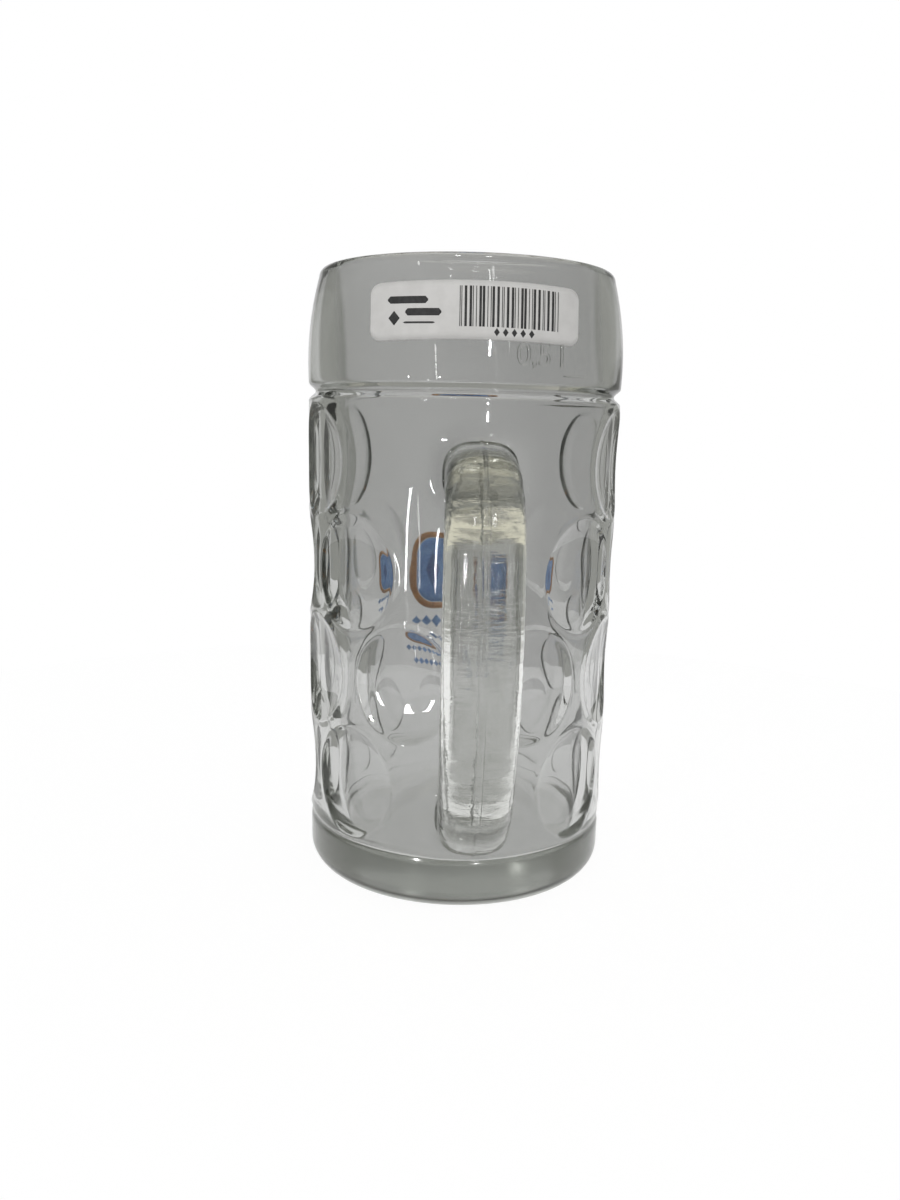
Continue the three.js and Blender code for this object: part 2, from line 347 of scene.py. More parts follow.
def pressed_depth(azimuth, z):
    """How far the dimples press the wall in, with a fine rim raised round each."""
    top = flank_top - DIMPLE_MARGIN - DIMPLE_HEIGHT / 2
    bottom = FOOT_RING_HEIGHT + CREASE_WIDTH / 2 + DIMPLE_MARGIN + DIMPLE_HEIGHT / 2
    pitch = (top - bottom) / (len(DIMPLE_AZIMUTHS) - 1)
    depth = np.zeros(np.broadcast(azimuth, z).shape)
    ridge = np.zeros_like(depth)
    for row, azimuths in enumerate(DIMPLE_AZIMUTHS):
        along = (z - (top - pitch * row)) / (DIMPLE_HEIGHT / 2)
        for place in azimuths:
            across = BODY_RADIUS * wrapped(azimuth - math.radians(place)) / (DIMPLE_WIDTH / 2)
            from_middle = np.hypot(across, along)
            level = 1 - from_middle**DIMPLE_STEEPNESS
            rounded = (level + np.sqrt(level**2 + DIMPLE_EDGE_SOFTNESS**2)) / 2
            frontness = (1 + math.cos(math.radians(place))) / 2
            share = DIMPLE_BACK_SHARE + (1 - DIMPLE_BACK_SHARE) * frontness
            depth = np.maximum(depth, DIMPLE_DEPTH * share * rounded)
            ridge = np.maximum(ridge, np.exp(-(((from_middle - 1) / DIMPLE_RIDGE_WIDTH) ** 2)))
    return depth - DIMPLE_RIDGE * ridge


def root_pads(azimuth, z):
    """How far the wall rises in soft pads about the handle's two roots."""
    rise = np.zeros(np.broadcast(azimuth, z).shape)
    across = np.abs(BODY_RADIUS * wrapped(azimuth) - ROOT_SKEW) / (HANDLE_WIDTH / 2)
    for root_z in (upper_root_z, LOWER_ROOT_HEIGHT):
        along = np.abs(z - root_z) / (HANDLE_THICKNESS / 2)
        share = (across**HANDLE_SQUARENESS + along**HANDLE_SQUARENESS) ** (1 / HANDLE_SQUARENESS)
        outside = np.clip((share - 1) * HANDLE_THICKNESS / 2, 0, None)
        rise = np.maximum(rise, ROOT_PAD * np.exp(-outside / ROOT_PAD_WIDTH))
    return rise


def spaced(start, end, step):
    """Even heights from start to end, without end, about a step apart."""
    return np.linspace(start, end, max(2, round(abs(end - start) / step)), endpoint=False)


def lip_arc(start, end):
    """Radius and height round the lip, between two angles from its outside."""
    turn = np.radians(np.linspace(start, end, LIP_STEPS))
    return LIP_RADIUS - lip_round + lip_round * np.cos(turn), lip_z + lip_round * np.sin(turn)


def outer_rows():
    """Radius and height of the outer surface from the underside to the top of the lip."""
    under = np.linspace(UNDERSIDE_RADIUS / UNDERSIDE_RINGS, UNDERSIDE_RADIUS, UNDERSIDE_RINGS)
    under_z = UNDERSIDE_RISE * (1 - (under / UNDERSIDE_RADIUS) ** 2) ** 2
    turn = np.radians(np.linspace(-90, 0, HEEL_STEPS, endpoint=False))
    heel_r = FOOT_RADIUS - HEEL_RADIUS + HEEL_RADIUS * np.cos(turn)
    heel_z = HEEL_RADIUS + HEEL_RADIUS * np.sin(turn)
    crease_foot = FOOT_RING_HEIGHT - CREASE_WIDTH
    crease_top = FOOT_RING_HEIGHT + CREASE_WIDTH
    heights = np.concatenate([
        spaced(HEEL_RADIUS, crease_foot, FOOT_STEP),
        spaced(crease_foot, crease_top, CREASE_STEP),
        spaced(crease_top, flank_top, FLANK_STEP),
        spaced(flank_top, band_foot, GROOVE_STEP),
        spaced(band_foot, lip_z, BAND_STEP),
    ])
    lip_r, over_z = lip_arc(0, 90)
    radius = np.concatenate([under, heel_r, wall_radius(heights), lip_r])
    return radius, np.concatenate([under_z, heel_z, heights, over_z])


def inner_rows():
    """Radius and height of the inner surface from the lip down to the floor."""
    lip_r, over_z = lip_arc(90, 180)
    foot_z = FLOOR + FLOOR_CORNER
    heights = np.concatenate([
        spaced(lip_z, groove_z, INNER_STEP)[1:],
        spaced(groove_z, foot_z, INNER_STEP),
    ])
    marks = [foot_z, groove_z, lip_z]
    radii = [FOOT_RADIUS - WALL, BODY_RADIUS - WALL, LIP_RADIUS - LIP_THICKNESS]
    turn = np.radians(np.linspace(0, 90, FLOOR_CORNER_STEPS))
    corner_r = FOOT_RADIUS - WALL - FLOOR_CORNER * (1 - np.cos(turn))
    corner_z = foot_z - FLOOR_CORNER * np.sin(turn)
    floor_r = np.linspace(corner_r[-1], 0, FLOOR_RINGS)[1:-1]
    radius = np.concatenate([lip_r[1:], np.interp(heights, marks, radii), corner_r, floor_r])
    return radius, np.concatenate([over_z[1:], heights, corner_z, np.full(len(floor_r), FLOOR)])


def body_piece(material):
    """The vessel: one closed skin turned about Z, pressed in at the dimples."""
    outer_r, outer_z = outer_rows()
    inner_r, inner_z = inner_rows()
    azimuth = np.linspace(0, 2 * np.pi, BODY_COLUMNS, endpoint=False)[None, :]
    outer_z = outer_z[:, None]
    inner_z = inner_z[:, None]
    on_flank = (outer_z > FOOT_RING_HEIGHT) & (outer_z < flank_top)
    relief = root_pads(azimuth, outer_z) - pressed_depth(azimuth, outer_z)
    outer = outer_r[:, None] + relief * on_flank
    bulge = DIMPLE_INNER_SHARE * pressed_depth(azimuth, inner_z)
    inner = inner_r[:, None] - bulge * (inner_z > FLOOR)
    radius = np.vstack([outer, inner])
    z = np.vstack([outer_z, inner_z]) + np.zeros_like(azimuth)
    grid = np.stack([radius * np.sin(azimuth), -radius * np.cos(azimuth), z], axis=-1)
    grid[len(outer):, :, 0] += CAVITY_SHIFT * np.clip((lip_z - z[len(outer):]) / BAND_HEIGHT, 0, 1)
    ends = [[0, 0, UNDERSIDE_RISE], [CAVITY_SHIFT, 0, FLOOR]]
    points = np.vstack([grid.reshape(-1, 3), ends])
    faces = tube_faces(len(radius), BODY_COLUMNS)
    make_piece("glass_body", points, faces, material, "body_glass", ["mug_body"])


# Handle


def smooth_line(points, steps):
    """A centripetal Catmull-Rom curve through the points."""
    points = np.vstack([2 * points[0] - points[1], points, 2 * points[-1] - points[-2]])
    gaps = np.sqrt(np.linalg.norm(np.diff(points, axis=0), axis=1))
    t = np.linspace(0, 1, steps, endpoint=False)[:, None]
    stretches = []
    for (p0, p1, p2, p3), (g0, g1, g2) in zip(
        np.lib.stride_tricks.sliding_window_view(points, 4, axis=0).swapaxes(1, 2),
        np.lib.stride_tricks.sliding_window_view(gaps, 3),
    ):
        m1 = g1 * ((p1 - p0) / g0 - (p2 - p0) / (g0 + g1) + (p2 - p1) / g1)
        m2 = g1 * ((p2 - p1) / g1 - (p3 - p1) / (g1 + g2) + (p3 - p2) / g2)
        near = (2 * t**3 - 3 * t**2 + 1) * p1 + (t**3 - 2 * t**2 + t) * m1
        stretches.append(near + (3 * t**2 - 2 * t**3) * p2 + (t**3 - t**2) * m2)
    return np.vstack(stretches)


def handle_line():
    """Reach and height along the handle's middle, from inside the wall at the upper root to the lower."""
    wall = float(wall_radius(upper_root_z))
    grip = wall + HANDLE_REACH
    foot = grip - GRIP_LEAN
    drop = upper_root_z - LOWER_ROOT_HEIGHT
    points = [(wall - WALL, upper_root_z)]
    for reach, share in UPPER_BENDS:
        points.append((wall + reach * HANDLE_REACH, upper_root_z - share * drop))
    points.append(((grip + foot) / 2, upper_root_z - GRIP_MIDDLE * drop))
    for reach, share in LOWER_BENDS:
        points.append((wall + reach * (foot - wall), LOWER_ROOT_HEIGHT + share * drop))
    points.append((wall - WALL, LOWER_ROOT_HEIGHT))
    return smooth_line(np.array(points), HANDLE_LINE_STEPS)


def handle_section():
    """Unit section of the handle, across and upward, with its points closer together along the seams."""
    turn = np.linspace(0, np.pi / 2, HANDLE_CURVE_POINTS)
    power = 2 / HANDLE_SQUARENESS
    across = np.sin(turn) ** power
    upward = np.cos(turn) ** power
    length = np.concatenate([[0], np.cumsum(np.hypot(np.diff(across), np.diff(upward)))])
    place = np.linspace(0, 1, HANDLE_QUARTER + 1)[:-1] ** SEAM_CROWDING * length[-1]
    right = np.stack([np.interp(place, length, across), np.interp(place, length, upward)], axis=-1)
    side = np.array([[1.0, 0.0]])
    top = np.vstack([side, right[:0:-1], right[:1], right[1:] * [-1, 1]])
    return np.vstack([top, -top])


def ripples(place, turn):
    """Height of the ripples at a place along the handle and an angle round its section."""
    (rate_a, rate_b, rate_c), (bend_a, bend_b, bend_c) = RIPPLE_RATES, RIPPLE_BENDS
    waves = (
        np.sin(place * rate_a + bend_a * np.sin(2 * turn + RIPPLE_PHASES[0]))
        + np.sin(place * rate_b + bend_b * turn + RIPPLE_PHASES[1])
        + np.sin(place * rate_c + bend_c * np.cos(turn))
    )
    from_dome = (place - DOME_PLACE) / DOME_LENGTH
    return RIPPLE * (1 + DOME_RIPPLE * np.exp(-(from_dome**2))) * waves / len(RIPPLE_RATES)


def handle_piece(material):
    """The handle: one sweep whose roots flare out onto the wall and end a little inside it."""
    line = handle_line()
    line = line[line[:, 0] - wall_radius(line[:, 1]) > -ROOT_OVERLAP]
    along = np.concatenate([[0], np.cumsum(np.linalg.norm(np.diff(line, axis=0), axis=1))])
    share = np.linspace(0, 1, HANDLE_RINGS)
    place = (share - RING_CROWDING * np.sin(2 * np.pi * share)) * along[-1]
    reach = np.interp(place, along, line[:, 0])
    height = np.interp(place, along, line[:, 1])
    slope = np.unwrap(np.arctan2(np.gradient(height, place), np.gradient(reach, place)))
    slope[:STEADY_RINGS] = slope[STEADY_RINGS]
    slope[-STEADY_RINGS:] = slope[-STEADY_RINGS - 1]

    section = handle_section()
    across = section[None, :, 0]
    upward = section[None, :, 1]
    distance = reach - wall_radius(height)
    left = np.clip(ROOT_FLARE - np.maximum(distance, 0), 0, None)
    flare = (ROOT_FLARE - np.sqrt(ROOT_FLARE**2 - left**2))[:, None]
    swell = flare + ripples(place[:, None], np.arctan2(upward, across))
    x = across * (HANDLE_WIDTH / 2 + swell)
    seam = SEAM_HEIGHT * np.exp(-((x / SEAM_WIDTH) ** 2))
    skew = ROOT_SKEW * (1 - np.clip(distance / HANDLE_REACH, 0, 1))
    x = x + skew[:, None]
    rise = upward * (HANDLE_THICKNESS / 2 - SEAM_HEIGHT - RIPPLE + swell + seam)
    z = height[:, None] + rise * np.cos(slope)[:, None]
    plane_y = -(reach[:, None] - rise * np.sin(slope)[:, None])
    wall_y = -np.sqrt((wall_radius(z) + distance[:, None]) ** 2 - x**2)
    t = np.clip(distance / ROOT_BLEND, 0, 1)[:, None]
    freed = t * t * (3 - 2 * t)
    y = wall_y + (plane_y - wall_y) * freed

    points = np.stack([x, y, z], axis=-1).reshape(-1, 3)
    ends = [[skew[ring], -(wall_radius(height[ring]) + distance[ring]), height[ring]] for ring in (0, -1)]
    faces = tube_faces(HANDLE_RINGS, len(section))
    make_piece("glass_handle", np.vstack([points, ends]), faces, material, "handle_glass", ["handle"])


# Skins on the wall: the label and the print


def on_wall(x, z, lift, side):
    """Points on the outer wall where a line along Y meets it. Side -1 is the handle's side."""
    x = np.asarray(x, float)
    z = np.asarray(z, float)
    y = side * np.sqrt((wall_radius(z) + lift) ** 2 - x**2)
    return np.stack(np.broadcast_arrays(x, y, z), axis=-1)


def shell_faces(columns, rows, flip):
    """Faces of a closed thin shell: a front grid, a back grid behind it and the edge between them."""
    size = columns * rows
    quads = []
    for c in range(columns - 1):
        for r in range(rows - 1):
            a = c * rows + r
            quads.append((a, a + rows, a + rows + 1, a + 1))
            quads.append((size + a + 1, size + a + rows + 1, size + a + rows, size + a))
    rim = [c * rows for c in range(columns)]
    rim += [(columns - 1) * rows + r for r in range(1, rows)]
    rim += [c * rows + rows - 1 for c in range(columns - 2, -1, -1)]
    rim += [r for r in range(rows - 2, 0, -1)]
    for a, b in zip(rim, rim[1:] + rim[:1]):
        quads.append((b, a, size + a, size + b))
    return [quad[::-1] for quad in quads] if flip else quads


def patch(size, corner, middle, thickness, side, columns, rows=PATCH_ROWS, droop=0.0, lift=SKIN_GAP):
    """Points and faces of a thin rounded rectangle that lies on the wall, or of a lozenge where corner is
    None. Size is its width and height, and middle its x and z."""
    width, height = size
    if corner is None:
        share = np.linspace(-1, 1, columns)
        x = width / 2 * share
        half = height / 2 * (1 - LOZENGE_POINT * np.abs(share))
    else:
        x = width / 2 * np.sin(np.linspace(-np.pi / 2, np.pi / 2, columns))
        past = np.clip(np.abs(x) - (width / 2 - corner), 0, None)
        half = height / 2 - corner + np.sqrt(np.clip(corner**2 - past**2, 0, None))
    upward = np.linspace(-1, 1, rows)[None, :]
    grid_x = middle[0] + x[:, None] + 0 * upward
    grid_z = middle[1] + half[:, None] * upward - droop * (2 * grid_x / width) ** 2
    front = on_wall(grid_x, grid_z, lift + thickness, side).reshape(-1, 3)
    back = on_wall(grid_x, grid_z, lift, side).reshape(-1, 3)
    return np.vstack([front, back]), shell_faces(columns, rows, side > 0)


def gathered(patches):
    """The points and faces of many patches as those of one mesh."""
    all_points = []
    all_faces = []
    for points, faces in patches:
        start = len(all_points)
        all_points += points.tolist()
        all_faces += [tuple(start + i for i in face) for face in faces]
    return all_points, all_faces


def inked(size, corner, x, z, columns=INK_COLUMNS):
    """A patch of ink on the label, about a place on it."""
    drooped = z - LABEL_DROOP * (2 * x / LABEL_WIDTH) ** 2
    lift = SKIN_GAP + LABEL_THICKNESS
    return patch(size, corner, (x, drooped), INK_THICKNESS, -1, columns, INK_ROWS, lift=lift)


def label_bars(top):
    """A row of bars one to four units wide, with gaps of one to three, in a made-up order."""
    units = [(1 + (3 * i * i + i) % 4, 1 + (2 * i * i + 3 * i) % 3) for i in range(BARS_COUNT)]
    unit = BARS_WIDTH / sum(bar + space for bar, space in units)
    bars = []
    x = BARS_LEFT
    for bar, space in units:
        width = bar * unit
        bars.append(inked((width, BARS_HEIGHT), 0.0, x + width / 2, top - BARS_HEIGHT / 2, BAR_COLUMNS))
        x += (bar + space) * unit
    return bars


def label_pieces(paper, ink):
    """The paper label, with bars, plain strips and lozenges printed on it."""
    top = HEIGHT - LABEL_DROP
    middle_z = top - LABEL_HEIGHT / 2
    points, faces = patch(
        (LABEL_WIDTH, LABEL_HEIGHT), LABEL_CORNER, (0, middle_z), LABEL_THICKNESS, -1, LABEL_COLUMNS,
        droop=LABEL_DROOP)
    make_piece("paper_label", points, faces, paper, "label_paper", ["price_label"])
    make_piece("label_bars", *gathered(label_bars(top - BARS_TOP_MARGIN)), ink, "label_paper")

    strips = []
    for width, height, x, rise in STRIPS:
        strips.append(inked((width, height), STRIP_CORNER_SHARE * height, x, middle_z + rise))
    make_piece("label_strips", *gathered(strips), ink, "label_paper")

    width, height, x, rise = LARGE_LOZENGE
    lozenges = [inked((width, height), None, x, middle_z + rise)]
    width, height, x, rise = SMALL_LOZENGE
    for i in range(SMALL_LOZENGES):
        lozenges.append(inked((width, height), None, x + SMALL_LOZENGE_PITCH * i, middle_z + rise))
    make_piece("label_lozenges", *gathered(lozenges), ink, "label_paper")


def frame_faces(sides):
    """Faces of a closed band with an outer and an inner outline, front and back."""
    faces = []
    for ring, following in ((0, 1), (1, 3), (3, 2), (2, 0)):
        for i in range(sides):
            j = (i + 1) % sides
            faces.append((ring * sides + i, following * sides + i, following * sides + j, ring * sides + j))
    return faces


def rounded_outline(width, height, corner):
    """Points round a rectangle with round corners, in order."""
    points = []
    for quarter, (sx, sz) in enumerate(((1, 1), (-1, 1), (-1, -1), (1, -1))):
        turn = np.radians(90 * quarter + np.linspace(0, 90, OUTLINE_STEPS))
        x = sx * (width / 2 - corner) + corner * np.cos(turn)
        z = sz * (height / 2 - corner) + corner * np.sin(turn)
        points.append(np.stack([x, z], axis=-1))
    return np.vstack(points)


def print_border_piece(material):
    """The frame round the print's field."""
    rings = []
    for lift in (SKIN_GAP + PRINT_THICKNESS, SKIN_GAP):
        for margin in (PRINT_CLEARANCE + PRINT_BORDER, PRINT_CLEARANCE):
            width = PRINT_FIELD_WIDTH + 2 * margin
            height = PRINT_FIELD_HEIGHT + 2 * margin
            outline = rounded_outline(width, height, PRINT_CORNER + margin)
            rings.append(on_wall(outline[:, 0], PRINT_HEIGHT + outline[:, 1], lift, 1))
    faces = frame_faces(len(rings[0]))
    make_piece("print_border_skin", np.vstack(rings), faces, material, "gold_print", ["print_border"])


def print_bar_pieces(material):
    """The two rows of small lozenges under the print's field."""
    top = PRINT_HEIGHT - PRINT_FIELD_HEIGHT / 2 - PRINT_CLEARANCE - PRINT_BORDER
    first_z = top - PRINT_BAR_HEIGHT / 2 - PRINT_BAR_SPACING / 2
    for order, (width, node) in enumerate(zip(PRINT_BAR_WIDTHS, ("print_bar_upper", "print_bar_lower"))):
        z = first_z - order * (PRINT_BAR_HEIGHT + PRINT_BAR_SPACING)
        count = round(width / PRINT_BAR_PITCH)
        pitch = width / count
        size = (pitch * PRINT_BAR_FILL, PRINT_BAR_HEIGHT)
        row = []
        for i in range(count):
            x = (i + 0.5) * pitch - width / 2
            row.append(patch(size, None, (x, z), PRINT_THICKNESS, 1, BAR_LOZENGE_COLUMNS))
        make_piece(f"{node}_skin", *gathered(row), material, "blue_print", [node])


def print_motifs(motif, thickness, lift):
    """Lozenges of the print's field, on it or behind it."""
    lozenges = []
    for width, height, x in motif:
        place = (x, PRINT_HEIGHT)
        lozenges.append(patch((width, height), None, place, thickness, 1, MOTIF_COLUMNS, lift=lift))
    return gathered(lozenges)


def print_pieces(blue, gold, pale, deep):
    """The fired print: a field with its border and lozenges, and two rows of small lozenges under it."""
    points, faces = patch(
        (PRINT_FIELD_WIDTH, PRINT_FIELD_HEIGHT), PRINT_CORNER, (0, PRINT_HEIGHT), PRINT_THICKNESS, 1,
        FIELD_COLUMNS)
    make_piece("print_field_skin", points, faces, blue, "blue_print", ["print_field"])
    print_border_piece(gold)
    print_bar_pieces(blue)
    front = print_motifs(PRINT_MOTIF, INK_THICKNESS, SKIN_GAP + PRINT_THICKNESS)
    make_piece("print_motif", *front, pale, "gold_print")
    back = print_motifs(PRINT_BACK_MOTIF, SKIN_GAP / 2, SKIN_GAP / 4)
    make_piece("print_back_motif", *back, deep, "blue_print")


# Capacity mark


def bent_on_band(flat, azimuth, z):
    """Flat points, x across, y up and z out, laid on the band about an azimuth and a height."""
    height = z + flat[:, 1]
    radius = wall_radius(height) + flat[:, 2]
    turn = math.radians(azimuth) + flat[:, 0] / BODY_RADIUS
    return np.stack([radius * np.sin(turn), -radius * np.cos(turn), height], axis=-1)


def mark_mesh():
    """Flat points and faces of the mark's figures, with bevelled edges."""
    curve = bpy.data.curves.new("capacity_text", "FONT")
    curve.body = MARK_TEXT
    curve.size = MARK_SIZE
    curve.align_x = "CENTER"
    curve.extrude = MARK_RELIEF
    curve.bevel_depth = MARK_BEVEL
    curve.bevel_resolution = MARK_BEVEL_STEPS
    curve.offset = -MARK_THINNING
    text = bpy.data.objects.new("capacity_text", curve)
    bpy.context.collection.objects.link(text)
    bpy.context.view_layer.update()
    mesh = bpy.data.meshes.new_from_object(text.evaluated_get(bpy.context.evaluated_depsgraph_get()))
    points = np.array([v.co for v in mesh.vertices])
    faces = [tuple(p.vertices) for p in mesh.polygons]
    bpy.data.objects.remove(text)
    bpy.data.meshes.remove(mesh)
    return points, faces


def mark_pieces(material):
    """The moulded capacity mark and its fill line, in low relief."""
    flat, faces = mark_mesh()
    make_piece("capacity_mark", bent_on_band(flat, MARK_AZIMUTH, MARK_Z), faces, material, "body_glass")

    turn = np.linspace(0, 2 * np.pi, FILL_LINE_SIDES, endpoint=False)[None, :]
    share = np.linspace(-1, 1, FILL_LINE_RINGS)[:, None]
    size = FILL_LINE_WIDTH / 2 * np.sqrt(1 - (FILL_LINE_TAPER * share) ** 2)
    half = FILL_LINE_LENGTH / 2
    rings = np.stack([half * share + 0 * turn, size * np.cos(turn), size * np.sin(turn)], axis=-1)
    flat = np.vstack([rings.reshape(-1, 3), [[-half, 0, 0], [half, 0, 0]]])
    points = bent_on_band(flat, FILL_LINE_AZIMUTH, FILL_LINE_Z)
    make_piece("fill_line", points, tube_faces(FILL_LINE_RINGS, FILL_LINE_SIDES), material, "body_glass")


# Materials


def new_material(name):
    """An empty node material, with its tree and output."""
    material = bpy.data.materials.new(name)
    material.use_nodes = True
    tree = material.node_tree
    tree.nodes.clear()
    output = tree.nodes.new("ShaderNodeOutputMaterial")
    return material, tree, output


def grey(value):
    """An opaque colour with equal parts."""
    return (value, value, value, 1)


def arithmetic(tree, operation, first, second):
    """A sum or the like of two node outputs, or of an output and a number."""
    node = tree.nodes.new("ShaderNodeMath")
    node.operation = operation
    tree.links.new(first, node.inputs[0])
    if isinstance(second, float):
        node.inputs[1].default_value = second
    else:
        tree.links.new(second, node.inputs[1])
    return node.outputs["Value"]


def ranged(tree, value, start, end):
    """A node output carried over from one range to another, and held at its ends."""
    node = tree.nodes.new("ShaderNodeMapRange")
    node.inputs["From Min"].default_value = start[0]
    node.inputs["From Max"].default_value = start[1]
    node.inputs["To Min"].default_value = end[0]
    node.inputs["To Max"].default_value = end[1]
    tree.links.new(value, node.inputs["Value"])
    return node.outputs["Result"]


def wander(tree, scale, detail, stretch=1.0):
    """A noise on the mug, drawn out along Z by a stretch under 1 and packed along Z by one over 1."""
    place = tree.nodes.new("ShaderNodeTexCoord")
    drawn = tree.nodes.new("ShaderNodeVectorMath")
    drawn.operation = "MULTIPLY"
    drawn.inputs[1].default_value = (1.0, 1.0, stretch)
    noise = tree.nodes.new("ShaderNodeTexNoise")
    noise.inputs["Scale"].default_value = scale
    noise.inputs["Detail"].default_value = detail
    tree.links.new(place.outputs["Object"], drawn.inputs[0])
    tree.links.new(drawn.outputs["Vector"], noise.inputs["Vector"])
    return noise.outputs["Fac"]


def ramped(tree, value, places, low, high):
    """A colour that goes from low to high while a node output goes from one place to another."""
    ramp = tree.nodes.new("ShaderNodeValToRGB")
    for element, place, colour in zip(ramp.color_ramp.elements, places, (low, high)):
        element.position = place
        element.color = (*colour, 1)
    tree.links.new(value, ramp.inputs["Fac"])
    return ramp.outputs["Color"]


def mottled(tree, scale, low, high, detail=MOTTLE_DETAIL):
    """A colour that wanders between two values."""
    return ramped(tree, wander(tree, scale, detail), MOTTLE_PLACES, low, high)


def add_bump(tree, shader, height, strength, distance):
    """Bump on a shader from a height."""
    bump = tree.nodes.new("ShaderNodeBump")
    bump.inputs["Strength"].default_value = strength
    bump.inputs["Distance"].default_value = distance
    tree.links.new(height, bump.inputs["Height"])
    tree.links.new(bump.outputs["Normal"], shader.inputs["Normal"])
    return bump


def glass_roughness(tree, smudge, frost):
    """Roughness that wanders with the smudges and rises to the frost at the foot."""
    least = CLEAN_SHARE * smudge
    smudges = mottled(tree, SMUDGE_SCALE, (least, least, least), (smudge, smudge, smudge), SMUDGE_DETAIL)
    place = tree.nodes.new("ShaderNodeTexCoord")
    split = tree.nodes.new("ShaderNodeSeparateXYZ")
    tree.links.new(place.outputs["Object"], split.inputs["Vector"])
    frosted = ranged(tree, split.outputs["Z"], FROST_RISE, (0.0, frost))
    return arithmetic(tree, "MAXIMUM", smudges, frosted)


def glass_material(name, tint, shadow, waviness, smudge, stretch=1.0, frost=0.0):
    """Clear glass with a faint tint, soft waves in its surface and smudges that blur it a little. Where its
    waves are drawn out, fine lines run across them."""
    material, tree, output = new_material(name)
    depth = tree.nodes.new("ShaderNodeVolumeAbsorption")
    depth.inputs["Color"].default_value = (*DEPTH_COLOUR, 1)
    depth.inputs["Density"].default_value = DEPTH_DENSITY
    tree.links.new(depth.outputs["Volume"], output.inputs["Volume"])

    shader = tree.nodes.new("ShaderNodeBsdfPrincipled")
    shader.inputs["Transmission Weight"].default_value = 1.0
    shader.inputs["IOR"].default_value = GLASS_IOR
    colour = mottled(tree, TINT_SCALE, [TINT_SHARE * c for c in tint], tint)
    tree.links.new(colour, shader.inputs["Base Color"])
    tree.links.new(glass_roughness(tree, smudge, frost), shader.inputs["Roughness"])
    waves = wander(tree, WAVE_SCALE / stretch**0.5, WAVE_DETAIL, stretch)
    bump = add_bump(tree, shader, waves, waviness, WAVE_HEIGHT)
    if stretch < 1:
        streaks = wander(tree, STREAK_SCALE, STREAK_DETAIL, STREAK_STRETCH)
        finer = add_bump(tree, shader, streaks, STREAK_STRENGTH, STREAK_HEIGHT)
        tree.links.new(bump.outputs["Normal"], finer.inputs["Normal"])

    clear = tree.nodes.new("ShaderNodeBsdfTransparent")
    clear.inputs["Color"].default_value = (*shadow, 1)
    path = tree.nodes.new("ShaderNodeLightPath")
    mix = tree.nodes.new("ShaderNodeMixShader")
    tree.links.new(path.outputs["Is Shadow Ray"], mix.inputs["Fac"])
    tree.links.new(shader.outputs["BSDF"], mix.inputs[1])
    tree.links.new(clear.outputs["BSDF"], mix.inputs[2])
    tree.links.new(mix.outputs["Shader"], output.inputs["Surface"])
    return material


def opaque_material(name, low, high, scale, roughness, grain):
    """An opaque surface whose colour wanders a little, with a fine grain."""
    material, tree, output = new_material(name)
    shader = tree.nodes.new("ShaderNodeBsdfPrincipled")
    shader.inputs["Roughness"].default_value = roughness
    tree.links.new(mottled(tree, scale, low, high), shader.inputs["Base Color"])
    add_bump(tree, shader, wander(tree, GRAIN_SCALE, GRAIN_DETAIL), grain, GRAIN_HEIGHT)
    tree.links.new(shader.outputs["BSDF"], output.inputs["Surface"])
    return material


# Stage, light and camera


def seen_share(tree):
    """1 for a ray that the camera sees by, straight or by way of gloss or glass, and 0 for other light."""
    path = tree.nodes.new("ShaderNodeLightPath")
    mirrored = arithmetic(tree, "MAXIMUM", path.outputs["Is Camera Ray"], path.outputs["Is Glossy Ray"])
    return arithmetic(tree, "MAXIMUM", mirrored, path.outputs["Is Transmission Ray"])


def floor_material():
    """Pale paint that looks near white and still takes the mug's shadow."""
    material, tree, output = new_material("floor_paint")
    paint = tree.nodes.new("ShaderNodeBsdfDiffuse")
    paint.inputs["Color"].default_value = grey(FLOOR_PAINT)
    white = tree.nodes.new("ShaderNodeEmission")
    white.inputs["Strength"].default_value = FLOOR_WHITE
    mix = tree.nodes.new("ShaderNodeMixShader")
    tree.links.new(arithmetic(tree, "MULTIPLY", seen_share(tree), FLOOR_GLOW_SHARE), mix.inputs["Fac"])
    tree.links.new(paint.outputs["BSDF"], mix.inputs[1])
    tree.links.new(white.outputs["Emission"], mix.inputs[2])
    tree.links.new(mix.outputs["Shader"], output.inputs["Surface"])
    return material


def stage():
    """A round pale table top under the mug."""
    mesh = bpy.data.meshes.new("floor")
    turn = np.linspace(0, 2 * np.pi, FLOOR_SIDES, endpoint=False)
    ring = [(FLOOR_RADIUS * math.cos(a), FLOOR_RADIUS * math.sin(a), FLOOR_Z) for a in turn]
    mesh.from_pydata(ring, [], [tuple(range(len(ring)))])
    mesh.materials.append(floor_material())
    floor = bpy.data.objects.new("floor", mesh)
    bpy.context.collection.objects.link(floor)


def mixed(tree, share, first, second):
    """A mix of two colours, each a node output or a fixed colour."""
    node = tree.nodes.new("ShaderNodeMix")
    node.data_type = "RGBA"
    tree.links.new(share, node.inputs["Factor"])
    for name, colour in (("A", first), ("B", second)):
        if isinstance(colour, tuple):
            node.inputs[name].default_value = colour
        else:
            tree.links.new(colour, node.inputs[name])
    return node.outputs["Result"]


